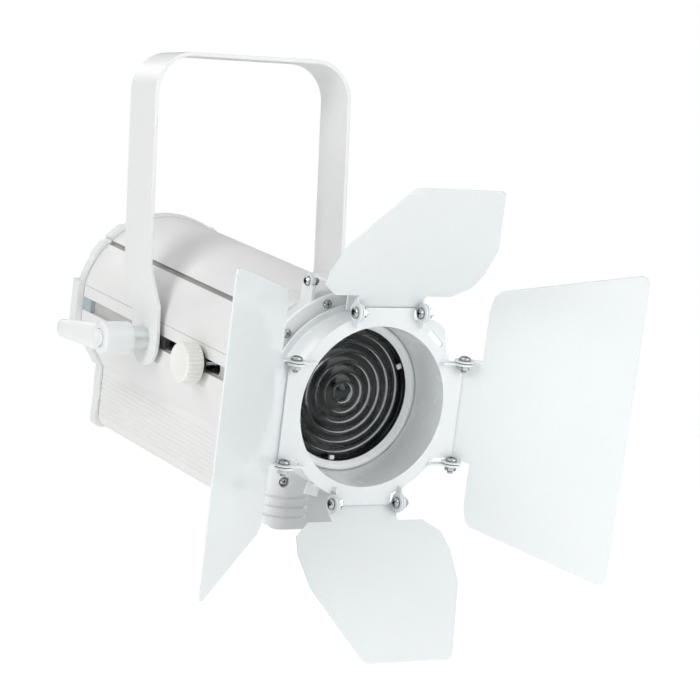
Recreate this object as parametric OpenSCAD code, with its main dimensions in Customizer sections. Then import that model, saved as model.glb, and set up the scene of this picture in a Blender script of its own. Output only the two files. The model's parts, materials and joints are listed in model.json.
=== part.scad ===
// LED Fresnel spotlight with a yoke and a four-leaf barn door.
// Millimetres. The origin is the centre of the hanging hole on the top face of
// the yoke, +X is the way the beam leaves when the housing is level, +Z is up
// and the clamp lever is on the -Y side. Every module draws about the centre of
// the tilt pivot and is then hung from the origin.

/* [Yoke] */
// Inner width of the yoke between its straight arms
yoke_inner_w = 157; // [140:1:180]
// Height from the pivot to the top of the yoke
yoke_h = 207.5; // [180:0.5:240]
// Width of the flat bar
strap_w = 40; // [30:1:50]
// Thickness of the flat bar
strap_t = 3; // [2:0.5:5]
// Outer bend radius of the two top corners
yoke_bend_r = 30; // [15:1:45]
// How far each arm steps in towards the housing
arm_step = 8; // [0:0.5:10]
// Height at which the step in the arm starts
step_top = 52; // [40:1:70]
// Height at which the step in the arm ends
step_bottom = 24; // [21:1:35]
// Diameter of the hanging bolt hole
hang_hole_d = 10.5; // [8.5:0.5:13]

/* [Housing] */
// Nose-down tilt of the housing
body_tilt = 9; // [-20:1:90]
// Radius of the half-round top
body_r = 68; // [60:1:72]
// Distance from the pivot down to the flat bottom
body_drop = 97; // [85:0.5:115]
// Half width of the narrow lower box
lower_half_w = 43.5; // [36:0.5:50]
// Wall thickness of the extrusion
wall_t = 3; // [2:0.5:4]
// Rear end of the extrusion
shell_x0 = -119; // [-140:1:-100]
// Front end of the extrusion
shell_x1 = 125; // [110:1:130]
// Width of the channel along each side
channel_w = 10; // [8:0.5:12]
// Depth of the channel along each side
channel_d = 4; // [3:0.5:5]
// Front face of the front cap
cap_x1 = 165; // [155:1:170]
// Rear edge of the rear cap
cap_x0 = -133; // [-145:1:-129]

/* [Zoom] */
// Where the zoom knob rests along the slot
zoom_x = 77; // [40:1:92]
// Rear end of the zoom slot
slot_x0 = 12; // [8:1:20]
// Front end of the zoom slot
slot_x1 = 99; // [96:1:110]
// Diameter of the zoom knob
knob_d = 30; // [24:1:34]
// Length of the zoom knob
knob_l = 14; // [10:1:18]

/* [Optics] */
// Diameter of the lens
lens_d = 99; // [90:1:104]
// Number of steps on the lens
lens_steps = 7; // [4:1:9]

/* [Barn door] */
// Outer radius of the door ring
ring_r = 66; // [62:0.5:70]
// Radius of the opening in the door ring
opening_r = 56.6; // [52:0.2:58]
// Front face of the door ring
ring_x1 = 205.5; // [200:0.5:212]
// Distance of the hinge axes from the beam axis
hinge_off = 67; // [66:0.5:70]
// Hinge axis ahead of the pivot
hinge_x = 209.8; // [208:0.1:214]
// Half distance between the hinges of the top and bottom leaves
hinge_half_small = 26; // [22:1:30]
// Half distance between the hinges of the side leaves
hinge_half_large = 36; // [32:1:40]
// Opening angle of the side leaves, 0 points straight ahead
side_angle = 49; // [0:1:90]
// Opening angle of the top leaf
top_angle = 52; // [-25:1:90]
// Opening angle of the bottom leaf
bottom_angle = 45; // [-25:1:90]

/* [Hidden] */
$fn = 48;
eps = 0.01;
gap = 0.05;                 // running clearance on a radius
stud_r = 4;                 // clamp stud, far pivot screw and zoom stud
arm_y = yoke_inner_w / 2;   // inner face of a straight arm
eye_y = arm_y - arm_step;   // inner face of an arm's eye
side_y = body_r - 1.5;      // flat side of the housing
rib_y = side_y - 8.5;       // inner face of the channel rib
nut_y = rib_y - 5;          // inner face of the channel nuts
plug_len = 13;              // length of a channel plug
slope_z0 = -16;             // top of the sloping face
slope_z1 = -50;             // bottom of the sloping face
foot_r = 8;                 // rounded bottom corners
groove_angle = 44;          // long groove on each upper flank
groove_w = 3.8;
tube_x1 = 172;              // front face of the lens tube
flange_x = 168;             // front face of the lens tube flange
ring_x0 = 172.4;            // back of the door ring
lens_x = 160;               // back of the lens
rod_y = 28;
rod_z = 48;
rod_r = 3;
boss_places = [[37.5, -64], [-37.5, -64], [42.5, 42.5], [-42.5, 42.5]];
tube_screw_places = [[39, 68], [69.5, 68], [110.5, 68], [141, 68], [225, 60], [315, 60]];
claw_angles = [257, 283];
panel_x = cap_x0 + 4;       // outer face of the rear panel
ear_r = 7;
sheet_t = 1.5;
leaf_t = 1.2;
leaf_back = 6.5;            // leaf plane behind its hinge axis
small_leaf = [[10, -44], [10, 48], [20, 60], [34, 63], [60, 61], [115, 38],
              [118, 34], [118, -30], [115, -34], [60, -57], [34, -59], [20, -56]];
large_leaf = [[12, -70], [12, 70], [14, 80], [18, 84.5], [112, 110], [116, 109], [118, 105],
              [118, -105], [116, -109], [112, -110], [18, -84.5], [14, -80]];

yoke_white = [0.93, 0.93, 0.92];
housing_white = [0.88, 0.88, 0.87];
cap_white = [0.86, 0.87, 0.86];
door_white = [0.95, 0.96, 0.96];
steel = [0.72, 0.73, 0.74];
black = [0.08, 0.08, 0.09];
alloy = [0.75, 0.76, 0.78];
plug_grey = [0.55, 0.6, 0.62];
board_green = [0.05, 0.32, 0.18];

// [node] which sub-part to draw

// ---------------------------------------------------------------- helpers

// Hangs a shape drawn about the tilt pivot below the origin
module hung() {
  translate([0, 0, -yoke_h]) children();
}

// Turns the level housing to its resting tilt, then hangs it
module tilted() {
  hung() rotate([0, body_tilt, 0]) children();
}

// Rod along X between two stations
module rod_x(x0, x1, r, y = 0, z = 0) {
  translate([x0, y, z]) rotate([0, 90, 0]) cylinder(r = r, h = x1 - x0);
}

// Rod along Y between two stations
module rod_y(y0, y1, r, x = 0, z = 0) {
  translate([x, y0, z]) rotate([-90, 0, 0]) cylinder(r = r, h = y1 - y0);
}

// Box given by its low and high corners
module box(lo, hi) {
  translate(lo) cube(hi - lo);
}

// Keeps the +Y side as drawn and mirrors it for the -Y side
module on_side(s) {
  mirror([0, s < 0 ? 1 : 0, 0]) children();
}

// Stands a shape drawn for a hinge along Y upright, so Y becomes Z
module upright() {
  rotate([-90, 0, 0]) mirror([0, 1, 0]) children();
}

// Extrudes a shape drawn in (Y, Z) along X
module along_x(x0, x1) {
  translate([x0, 0, 0]) rotate([90, 0, 90]) linear_extrude(height = x1 - x0) children();
}

// Extrudes a shape drawn in (X, Z) along Y
module along_y(y0, y1) {
  translate([0, y1, 0]) rotate([90, 0, 0]) linear_extrude(height = y1 - y0) children();
}

// Spins a shape drawn in (radius, X) about the beam axis
module spin_x() {
  rotate([0, 90, 0]) rotate_extrude() children();
}

// Pan head with a cross recess, seat at the origin, head towards +Z
module pan_head(r, h) {
  difference() {
    union() {
      cylinder(r = r, h = h * 0.55, $fn = 24);
      translate([0, 0, h * 0.55]) cylinder(r1 = r, r2 = r * 0.62, h = h * 0.45, $fn = 24);
    }
    for (a = [0, 90]) {
      rotate([0, 0, a]) translate([-r * 0.55, -r * 0.11, h * 0.5]) cube([r * 1.1, r * 0.22, h]);
    }
  }
}

// Screw: pan head on the seat, shank going down
module pan_screw(shank_r, shank_l, head_r, head_h) {
  pan_head(head_r, head_h);
  translate([0, 0, -shank_l]) cylinder(r = shank_r, h = shank_l + eps, $fn = 24);
}

// Hexagonal nut with a plain bore
module hex_nut(across, h, bore_r) {
  difference() {
    cylinder(d = across / cos(30), h = h, $fn = 6);
    translate([0, 0, -1]) cylinder(r = bore_r, h = h + 2, $fn = 24);
  }
}

// ------------------------------------------------------- housing section

// Housing outline below the arch in (Y, Z), moved inwards by g
module section_below(g) {
  w = side_y - g;
  f = lower_half_w - g;
  z = g - body_drop;
  c = foot_r;
  polygon([[w, 0], [w, slope_z0 + g * 0.3], [f, slope_z1 + g * 0.3], [f, z + c], [f - c, z + c],
           [f - c, z], [c - f, z], [c - f, z + c], [-f, z + c], [-f, slope_z1 + g * 0.3],
           [-w, slope_z0 + g * 0.3], [-w, 0]]);
}

// Solid of the housing outline between two stations, moved inwards by g
module section_solid(x0, x1, g = 0) {
  y = lower_half_w - g - foot_r;
  z = g - body_drop + foot_r;
  along_x(x0, x1) section_below(g);
  for (s = [-1, 1]) {
    on_side(s) intersection() {
      rod_x(x0, x1, foot_r, y, z);
      box([x0 - 1, y, z - foot_r - 1], [x1 + 1, y + foot_r + 1, z]);
    }
  }
  intersection() {
    rod_x(x0, x1, body_r - g);
    box([x0 - 1, g - side_y, 0], [x1 + 1, side_y - g, 80]);
  }
}

// Places children at each corner screw boss, facing +X
module at_bosses(x) {
  for (p = boss_places) {
    translate([x, p[0], p[1]]) rotate([0, 90, 0]) children();
  }
}

// ------------------------------------------------------------------ yoke

// One arm with its step, from the pivot up to the bend
module yoke_arm() {
  top = yoke_h - yoke_bend_r;
  along_x(-strap_w / 2, strap_w / 2) {
    polygon([[arm_y, top], [arm_y, step_top], [eye_y, step_bottom], [eye_y, 0],
             [eye_y + strap_t, 0], [eye_y + strap_t, step_bottom],
             [arm_y + strap_t, step_top], [arm_y + strap_t, top]]);
  }
}

// Half-round end of an arm below the pivot
module yoke_eye() {
  intersection() {
    rod_y(eye_y, eye_y + strap_t, strap_w / 2);
    box([-strap_w, eye_y - 1, -strap_w], [strap_w, eye_y + strap_t + 1, 0]);
  }
}

// Bend between an arm and the crosspiece
module yoke_bend() {
  y = arm_y + strap_t - yoke_bend_r;
  z = yoke_h - yoke_bend_r;
  intersection() {
    difference() {
      rod_x(-strap_w / 2, strap_w / 2, yoke_bend_r, y, z);
      rod_x(-strap_w, strap_w, yoke_bend_r - strap_t, y, z);
    }
    box([-strap_w, y, z], [strap_w, y + yoke_bend_r + 1, z + yoke_bend_r + 1]);
  }
}

module yoke() {
  half = arm_y + strap_t - yoke_bend_r;
  color(yoke_white) hung() difference() {
    union() {
      for (s = [-1, 1]) {
        on_side(s) {
          yoke_arm();
          yoke_eye();
          yoke_bend();
        }
      }
      box([-strap_w / 2, -half, yoke_h - strap_t], [strap_w / 2, half, yoke_h]);
    }
    rod_y(-arm_y - 20, arm_y + 20, stud_r + gap);
    translate([0, 0, yoke_h - 10]) cylinder(d = hang_hole_d, h = 20);
    for (s = [-1, 1]) {
      translate([0, s * 24, yoke_h - 10]) cylinder(d = 6.5, h = 20, $fn = 32);
    }
  }
}

// Plastic rings between each eye and the housing
module pivot_spacers() {
  color(black) hung() for (s = [-1, 1]) {
    y0 = s > 0 ? side_y + 0.1 : -eye_y;
    difference() {
      rod_y(y0, y0 + eye_y - side_y - 0.1, 13);
      rod_y(y0 - 1, y0 + 6, stud_r + gap);
    }
  }
}

// ----------------------------------------------------------- clamp lever

lever_y0 = -eye_y - strap_t - 12;   // inner end of the moulded hub
lever_y1 = -eye_y - strap_t - 36;   // outer end of the moulded hub
lever_len = 55;

// Tapered handle seen along the stud, in (X, Z)
module lever_outline() {
  circle(r = 11.5, $fn = 60);
  translate([-lever_len, 3]) circle(r = 7, $fn = 48);
  polygon([[-1.2, 11.4], [-lever_len - 0.8, 9.95], [-lever_len - 0.8, -3.95], [-2.2, -11.2]]);
}

// Handle seen from above, in (X, Y): it leans away from the yoke
module lever_side() {
  polygon([[12, lever_y1], [12, lever_y1 + 12], [-10, lever_y1 + 12], [-24, lever_y1 + 5],
           [-lever_len - 8, lever_y1 + 1], [-lever_len - 8, lever_y1 - 6],
           [-lever_len + 4, lever_y1 - 7], [-22, lever_y1 - 3], [-11, lever_y1]]);
}

module clamp_lever() {
  color(yoke_white) hung() difference() {
    union() {
      rod_y(lever_y1, lever_y0, 12);
      intersection() {
        along_y(lever_y1 - 10, lever_y1 + 14) lever_outline();
        translate([0, 0, -20]) linear_extrude(height = 40) lever_side();
      }
    }
    rod_y(lever_y1 - 1, lever_y1 + 6.1, 7);
    rod_y(lever_y1 + 2, lever_y0 + 1, 5.4 + gap);
  }
}

// Steel insert, collar and threaded stud of the lever
module clamp_stud() {
  color(steel) hung() {
    rod_y(lever_y0, -eye_y - strap_t, 9);
    rod_y(lever_y1 + 5, lever_y0 + eps, 5.4);
    rod_y(-eye_y - strap_t - eps, -nut_y + 2, stud_r);
  }
}

// Dished push button that frees the handle to be set to a new angle
module lever_button() {
  r = 7 - gap;
  color(yoke_white) hung() translate([0, lever_y1 + 2.4, 0]) rotate([90, 0, 0]) rotate_extrude()
    polygon([[0, 0], [r, 0], [r, 1.5], [6.3, 1.9], [6.3, 3.5], [5.7, 4], [4.6, 4], [3, 3.5], [0, 3.3]]);
}

// --------------------------------------------------------------- housing

// Long square groove on one upper flank
module flank_groove(s, x0, x1, depth, width) {
  rotate([s * (90 - groove_angle), 0, 0]) {
    box([x0, -width / 2, body_r - depth], [x1, width / 2, body_r + 10]);
  }
}

// Everything the extrusion die cuts from the outside
module shell_cuts() {
  x0 = shell_x0 - 1;
  x1 = shell_x1 + 1;
  for (s = [-1, 1]) {
    flank_groove(s, x0, x1, 2, groove_w);
    on_side(s) {
      box([x0, side_y - channel_d, -channel_w / 2], [x1, side_y + 1, channel_w / 2]);
      for (i = [0 : 9]) {
        z = -56 - i * 3.4;
        box([x0, lower_half_w - 0.3, z - 0.4], [x1, lower_half_w + 1, z + 0.4]);
      }
    }
  }
}

module housing_shell() {
  color(housing_white) tilted() difference() {
    union() {
      difference() {
        section_solid(shell_x0, shell_x1);
        section_solid(shell_x0 - 1, shell_x1 + 1, wall_t);
      }
      for (s = [-1, 1]) {
        on_side(s) box([shell_x0, rib_y, -10], [shell_x1, side_y - 1, 10]);
      }
      intersection() {
        section_solid(shell_x0, shell_x1, 1);
        at_bosses(shell_x0) cylinder(r = 5, h = shell_x1 - shell_x0, $fn = 24);
      }
    }
    shell_cuts();
    at_bosses(shell_x0 - 1) cylinder(r = 1.6, h = shell_x1 - shell_x0 + 2, $fn = 16);
    rod_y(-80, 80, stud_r + gap);
    zoom_slot();
  }
}

// Slot in the near channel for the zoom stud
module zoom_slot() {
  r = 4.4;
  along_y(-side_y - 1, -rib_y + 1) {
    for (x = [slot_x0 + r, slot_x1 - r]) {
      translate([x, 0]) circle(r = r, $fn = 36);
    }
    translate([slot_x0 + r, -r]) square([slot_x1 - slot_x0 - 2 * r, 2 * r]);
  }
}

// Raised pads on the arch, one each side of a groove
module cap_pads(x0, x1) {
  for (s = [-1, 1]) {
    rotate([s * (90 - groove_angle), 0, 0]) {
      intersection() {
        difference() {
          rod_x(x0, x1, body_r + 3.5);
          rod_x(x0 - 1, x1 + 1, body_r - 1);
        }
        box([x0 - 1, -17, 0], [x1 + 1, 17, body_r + 10]);
      }
    }
  }
}

// Upright flanges over the channel ends
module cap_flanges(x0, x1) {
  for (s = [-1, 1]) {
    on_side(s) box([x0, side_y - 1, -15.5], [x1, side_y + 5, 17]);
  }
}

// Corner bulges at the foot of a cap
module cap_feet(x0, x1) {
  for (s = [-1, 1]) {
    rod_x(x0, x1, 11, s * (lower_half_w - 8), -body_drop + 8);
  }
}

// Plan in (X, Y) from x0 to x1, half width w, rounded by r at x1
module nose_plan(x0, x1, w, r) {
  translate([x0, -w]) square([x1 - r - x0, 2 * w]);
  translate([x0, -w + r]) square([x1 - x0, 2 * (w - r)]);
  for (s = [-1, 1]) {
    translate([x1 - r, s * (w - r)]) circle(r = r, $fn = 60);
  }
}

// Space a cap fills: its outer end edge is rounded by r
module cap_envelope(x0, x1, r) {
  intersection() {
    spin_x() {
      translate([0, x0]) square([body_r + 2, x1 - r - x0]);
      translate([0, x0]) square([body_r + 2 - r, x1 - x0]);
      translate([body_r + 2 - r, x1 - r]) circle(r = r, $fn = 60);
    }
    box([x0 - 1, -90, slope_z0], [x1 + 1, 90, 90]);
  }
  translate([0, 0, slope_z1]) linear_extrude(height = slope_z0 - slope_z1)
    nose_plan(x0, x1, side_y + 2, r);
  translate([0, 0, -body_drop - 1]) linear_extrude(height = body_drop + 1 + slope_z1)
    nose_plan(x0, x1, lower_half_w + 3, r);
}

// Shallow groove round the front of a cap at height z
module wrap_groove(z) {
  translate([0, 0, z - 0.9]) linear_extrude(height = 1.8) difference() {
    translate([shell_x1 + 8, -60]) square([50, 120]);
    nose_plan(shell_x1, cap_x1 - 0.6, lower_half_w + 1.4, 11.4);
    translate([shell_x1, -20]) square([60, 40]);
  }
}

wrap_z = [-75, -82, -89];

module front_cap() {
  color(cap_white) tilted() difference() {
    union() {
      intersection() {
        union() {
          section_solid(shell_x1, cap_x1, -2);
          cap_feet(shell_x1, cap_x1 - 4);
        }
        cap_envelope(shell_x1 - 1, cap_x1, 12);
      }
      cap_pads(shell_x1, shell_x1 + 26);
      cap_flanges(shell_x1, shell_x1 + 10);
      latch_lugs();
      for (z = wrap_z) {
        for (s = [-1, 1]) {
          rod_x(cap_x1 - 2, cap_x1 + 0.8, 1.5, s * 17.5, z);
        }
      }
    }
    section_solid(shell_x1 - 1, shell_x1 + 22, 3);
    rod_x(shell_x1, cap_x1 + 3, 55);
    for (s = [-1, 1]) {
      flank_groove(s, shell_x1 - 1, shell_x1 + 27, 0, groove_w);
    }
    for (z = wrap_z) {
      wrap_groove(z);
    }
    at_tube_screws(cap_x1 - 6.5) cylinder(r = 1.6, h = 10, $fn = 24);
    at_bosses(shell_x1 - 1) cylinder(r = 1.6, h = 60, $fn = 16);
    at_bosses(cap_x1 - 4) cylinder(r = 4, h = 10, $fn = 24);
  }
}

module rear_cap() {
  color(cap_white) tilted() difference() {
    union() {
      intersection() {
        union() {
          section_solid(cap_x0, shell_x0, -2);
          cap_feet(cap_x0 + 3, shell_x0);
        }
        mirror([1, 0, 0]) cap_envelope(-shell_x0 - 1, -cap_x0, 9);
      }
      cap_pads(cap_x0 + 7, shell_x0);
      cap_flanges(cap_x0 + 4, shell_x0);
    }
    section_solid(cap_x0 - 1, panel_x + 1.5, 3);
    difference() {
      section_solid(panel_x - 1, shell_x0 + 1, 6);
      at_bosses(panel_x + 1.5) cylinder(r = 5, h = 40, $fn = 24);
    }
    for (s = [-1, 1]) {
      flank_groove(s, cap_x0, shell_x0 + 1, 0, groove_w);
      rod_x(cap_x0 - 1, shell_x0 + 1, 9.5, s * 53.5, -72);
    }
    at_bosses(cap_x0 - 1) cylinder(r = 1.6, h = 60, $fn = 16);
  }
}

// Plugs that close the rear ends of the two side channels
module channel_plugs() {
  z = channel_w / 2 - 0.1;
  color(plug_grey) tilted() for (s = [-1, 1]) {
    on_side(s) box([shell_x0, side_y - channel_d, -z], [shell_x0 + plug_len, side_y - 0.3, z]);
  }
}

// Nuts behind the channel ribs, one takes the clamp stud, one the far screw
module channel_nuts() {
  color(steel) tilted() for (s = [-1, 1]) {
    y0 = s > 0 ? nut_y : -rib_y;
    difference() {
      box([-12, y0, -9], [12, y0 + rib_y - nut_y, 9]);
      rod_y(y0 - 1, y0 + 6, stud_r + gap);
    }
  }
}

module far_pivot_screw() {
  color(steel) tilted() {
    rod_y(nut_y + 1, eye_y + strap_t + eps, stud_r);
    rod_y(eye_y + strap_t, eye_y + strap_t + 1.6, 9.5);
    difference() {
      rod_y(eye_y + strap_t + 1.6 - eps, eye_y + strap_t + 7, 6.6);
      translate([0, eye_y + strap_t + 4, 0]) rotate([-90, 0, 0]) cylinder(d = 6.9, h = 5, $fn = 6);
    }
  }
}

module front_cap_screws() {
  color(steel) tilted() {
    at_bosses(cap_x1 - 4) pan_screw(1.55, 46, 3, 2.2);
  }
}

module rear_cap_screws() {
  color(steel) tilted() for (p = boss_places) {
    translate([panel_x, p[0], p[1]]) rotate([0, -90, 0]) pan_screw(1.55, 30, 3, 2);
  }
}

// ---------------------------------------------------------------- optics

// Children at each screw of the lens tube, facing +X
module at_tube_screws(x) {
  for (p = tube_screw_places) {
    rotate([p[0], 0, 0]) translate([x, p[1], 0]) rotate([0, 90, 0]) children();
  }
}

module lens_tube() {
  color(cap_white) tilted() difference() {
    union() {
      rod_x(140, flange_x, 54.9);
      rod_x(cap_x1, flange_x, 65);
      intersection() {
        rod_x(cap_x1, flange_x, 73.5);
        box([cap_x1 - 1, -80, 0], [flange_x + 1, 80, 80]);
      }
      rod_x(flange_x - eps, tube_x1, 53.2);
    }
    rod_x(139, lens_x - 1.5, 48.4);
    rod_x(lens_x - 1.6, tube_x1 - 3, 50);
    translate([tube_x1 - 3.1, 0, 0]) rotate([0, 90, 0]) cylinder(r1 = 47.6, r2 = 51.4, h = 4);
    at_tube_screws(cap_x1 - 1) cylinder(r = 1.6, h = 10, $fn = 24);
  }
}

// Stepped convex lens in (radius, height)
module lens_profile() {
  p = lens_d / 2 / lens_steps;
  polygon(concat([[0, 0], [lens_d / 2, 0], [lens_d / 2, 3]],
    [for (i = [lens_steps - 1 : -1 : 1]) each [[(i + 0.08) * p, 5.5], [i * p, 3]]],
    [[p * 0.6, 4.2], [p * 0.3, 4.9], [0, 5.2]]));
}

module lens() {
  color([0.25, 0.27, 0.3, 0.6]) tilted() translate([lens_x, 0, 0]) spin_x() lens_profile();
}

module lens_gasket() {
  color(black) tilted() difference() {
    rod_x(lens_x - 1.5, lens_x, 49.9);
    rod_x(lens_x - 3, lens_x + 1, 46);
  }
}

module lens_ring() {
  color(black) tilted() difference() {
    rod_x(lens_x + 5.6, tube_x1 - 3, 49.9);
    rod_x(lens_x, tube_x1, 47.5);
  }
}

// Small clips that hold the lens ring
module lens_clips() {
  color(door_white) tilted() for (a = [25, 145, 265]) {
    rotate([a, 0, 0]) box([lens_x + 5.3, 44.4, -1.8], [lens_x + 7.3, 47.4, 1.8]);
  }
}

module tube_screws() {
  color(steel) tilted() at_tube_screws(flange_x) pan_screw(1.55, 8, 3, 2);
}

// Bent tabs that keep the door ring against the lens tube
module accessory_claws() {
  color(door_white) tilted() for (a = claw_angles) {
    rotate([a, 0, 0]) {
      box([cap_x1, 65.6, -5.5], [cap_x1 + 1.5, 75, 5.5]);
      box([cap_x1, 65.6, -5.5], [ring_x0 + 4.2, 67.1, 5.5]);
      box([ring_x0 + 2.7, 62, -5.5], [ring_x0 + 4.2, 67.1, 5.5]);
    }
  }
}

latch_x = 158;              // hinge of the top latch
latch_z = 77.5;
latch_y = 32.5;             // inner face of the latch lugs

// Swinging bar that closes the top of the accessory slot
module top_latch() {
  x1 = ring_x0 + 9;
  w = latch_y - 0.1;
  color(door_white) tilted() difference() {
    union() {
      box([latch_x - 4, -w, latch_z + 3.5], [x1, w, latch_z + 5]);
      box([x1 - 1.5, -16, 62.5], [x1, 16, latch_z + 5]);
      for (y = [-w, w - 1.5]) {
        rod_y(y, y + 1.5, 4, latch_x, latch_z);
        box([latch_x - 4, y, latch_z], [latch_x + 4, y + 1.5, latch_z + 5]);
      }
    }
    rod_y(-40, 40, 1.5 + gap, latch_x, latch_z);
  }
}

// Lugs of the front cap that carry the latch
module latch_lugs() {
  for (s = [-1, 1]) {
    on_side(s) difference() {
      union() {
        box([150, latch_y, 50], [cap_x1, latch_y + 2.5, latch_z - 2]);
        rod_y(latch_y, latch_y + 2.5, 5, latch_x, latch_z);
      }
      rod_y(latch_y - 1, latch_y + 4, 1.5 + gap, latch_x, latch_z);
    }
  }
}

// Two hinge screws of the latch with their nuts
module latch_screws() {
  color(steel) tilted() for (s = [-1, 1]) {
    on_side(s) {
      translate([latch_x, latch_y + 2.5, latch_z]) rotate([-90, 0, 0]) pan_screw(1.5, 8, 3.4, 2.4);
      translate([latch_x, latch_y - 1.8, latch_z]) rotate([90, 0, 0]) hex_nut(5.5, 2.4, 1.4);
    }
  }
}

// ---------------------------------------------------------- zoom carriage

module front_bulkhead() {
  color(alloy) tilted() difference() {
    section_solid(shell_x1 + 0.5, shell_x1 + 2.5, 4.5);
    rod_x(shell_x1, shell_x1 + 4, 50);
    for (s = [-1, 1]) {
      rod_x(shell_x1, shell_x1 + 4, rod_r, s * rod_y, rod_z);
    }
    at_bosses(shell_x1) cylinder(r = 5.2, h = 4, $fn = 24);
  }
}

module rear_bulkhead() {
  color(alloy) tilted() difference() {
    section_solid(-92, -90, 4.5);
    rod_x(-93, -89, 34);
    box([-93, -28, -97], [-89, 28, -55]);
    for (s = [-1, 1]) {
      rod_x(-93, -89, rod_r, s * rod_y, rod_z);
      box([-93, s * 62 - 6, -12], [-89, s * 62 + 6, 12]);
    }
    at_bosses(-93) cylinder(r = 5.2, h = 4, $fn = 24);
  }
}

module guide_rods() {
  color(steel) tilted() for (s = [-1, 1]) {
    rod_x(-92, shell_x1 + 2.5, rod_r, s * rod_y, rod_z);
  }
}

module zoom_carriage() {
  color(alloy) tilted() difference() {
    union() {
      rod_x(zoom_x - 3, zoom_x + 3, 50);
      for (s = [-1, 1]) {
        rod_x(zoom_x - 9, zoom_x + 9, 6.5, s * rod_y, rod_z);
      }
      box([zoom_x - 7, -53, -8], [zoom_x + 7, -44, 8]);
    }
    for (s = [-1, 1]) {
      rod_x(zoom_x - 20, zoom_x + 20, rod_r + gap, s * rod_y, rod_z);
    }
    rod_y(-60, -43, stud_r, zoom_x);
  }
}

module zoom_stud() {
  color(steel) tilted() rod_y(-side_y - 13, -43, stud_r, zoom_x);
}

knob_y1 = -side_y - 4;

module zoom_washer() {
  color(black) tilted() difference() {
    rod_y(knob_y1 + 0.05, -side_y - 0.1, 8.5, zoom_x);
    rod_y(knob_y1 - 1, -side_y + 1, stud_r, zoom_x);
  }
}

// Fluted knob with a dished face
module zoom_knob() {
  color([0.93, 0.92, 0.88]) tilted() translate([zoom_x, knob_y1, 0]) rotate([90, 0, 0]) {
    difference() {
      union() {
        rotate_extrude($fn = 60) polygon([[0, 0], [knob_d / 2 - 1.4, 0], [knob_d / 2 - 0.6, 1.5],
          [knob_d / 2 - 0.6, knob_l - 2], [knob_d / 2 - 2, knob_l], [knob_d / 2 - 3.6, knob_l],
          [knob_d / 2 - 6, knob_l - 1.8], [0, knob_l - 2.6]]);
        for (i = [0 : 29]) {
          rotate([0, 0, i * 12]) translate([knob_d / 2 - 0.8, 0, 1.2])
            cylinder(r = 0.8, h = knob_l - 3.4, $fn = 12);
        }
      }
      translate([0, 0, -1]) cylinder(r = stud_r + gap, h = knob_l - 3.5);
    }
  }
}

sink_x1 = zoom_x - 3;
sink_x0 = sink_x1 - 46;

// Round finned heat sink behind the carriage plate
module heat_sink() {
  color(alloy) tilted() {
    rod_x(sink_x0 + 2, sink_x1 - 3, 16);
    rod_x(sink_x1 - 6, sink_x1, 42);
    for (i = [0 : 17]) {
      rotate([i * 20, 0, 0]) box([sink_x0, 15, -0.8], [sink_x1 - 5, 41, 0.8]);
    }
  }
}

module led_board() {
  color([0.85, 0.86, 0.86]) tilted() box([zoom_x + 3, -17, -17], [zoom_x + 5, 17, 17]);
}

module led_emitter() {
  color([0.95, 0.85, 0.3]) tilted() {
    rod_x(zoom_x + 5, zoom_x + 6, 11);
    box([zoom_x + 5, -15, 12.5], [zoom_x + 7, -11, 15.5]);
    box([zoom_x + 5, 11, -15.5], [zoom_x + 7, 15, -12.5]);
  }
}

module reflector() {
  color([0.9, 0.9, 0.92]) tilted() difference() {
    union() {
      translate([zoom_x + 7.2, 0, 0]) rotate([0, 90, 0]) cylinder(r1 = 14, r2 = 26, h = 20);
      rod_x(zoom_x + 3, zoom_x + 7.4, 28);
    }
    translate([zoom_x + 7.1, 0, 0]) rotate([0, 90, 0]) cylinder(r1 = 12.4, r2 = 24.8, h = 20.2);
    rod_x(zoom_x + 2, zoom_x + 7.2, 24.5);
  }
}

fan_x0 = sink_x0 - 20;

module fan_frame() {
  color(black) tilted() difference() {
    box([fan_x0, -35, -35], [sink_x0, 35, 35]);
    rod_x(fan_x0 - 1, sink_x0 - 2, 33);
    rod_x(sink_x0 - 3, sink_x0 + 1, 33);
  }
  color(black) tilted() {
    rod_x(sink_x0 - 2.5, sink_x0, 14);
    rod_x(fan_x0 + 4, sink_x0 - 2, 2.2);
    for (a = [45 : 90 : 315]) {
      rotate([a, 0, 0]) box([sink_x0 - 2.5, 12, -1.5], [sink_x0, 34, 1.5]);
    }
  }
}

module fan_rotor() {
  color(black) tilted() difference() {
    union() {
      rod_x(fan_x0 + 2, sink_x0 - 4, 13);
      for (i = [0 : 6]) {
        rotate([i * 360 / 7, 0, 0]) translate([fan_x0 + 9.5, 11, 0]) rotate([0, 35, 0])
          box([-6, 0, -0.6], [6, 20.5, 0.6]);
      }
    }
    rod_x(fan_x0 + 3.9, sink_x0, 2.2 + gap);
  }
}

// ------------------------------------------------------------ electronics

module driver_board() {
  color(board_green) tilted() box([-85, -37, -91.6], [95, 37, -90]);
}

module driver_parts() {
  color(black) tilted() {
    box([-60, -30, -90], [-25, -2, -66]);
    box([-10, 4, -90], [25, 32, -70]);
    box([50, -18, -90], [62, 18, -72]);
    for (x = [36, 74, 86]) {
      translate([x, 24, -90]) cylinder(r = 5, h = 20, $fn = 24);
    }
    for (x = [-15, 0, 15, 30]) {
      box([x, -24, -90], [x + 9, -12, -86]);
    }
  }
}

// Cables from the power sockets down to the board
module panel_cable() {
  x = -108;
  z = -84;
  color(black) tilted() for (s = [-1, 1]) {
    rod_x(panel_x + 18, x, 2.2, s * socket_y, power_z);
    translate([x, s * socket_y, power_z]) sphere(r = 2.2, $fn = 20);
    translate([x, s * socket_y, z]) cylinder(r = 2.2, h = power_z - z, $fn = 20);
    translate([x, s * socket_y, z]) sphere(r = 2.2, $fn = 20);
    rod_x(x, -82, 2.2, s * socket_y, z);
    box([-84, s * socket_y - 5, -90], [-74, s * socket_y + 5, -79]);
  }
}

// ------------------------------------------------------------- rear panel

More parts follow.
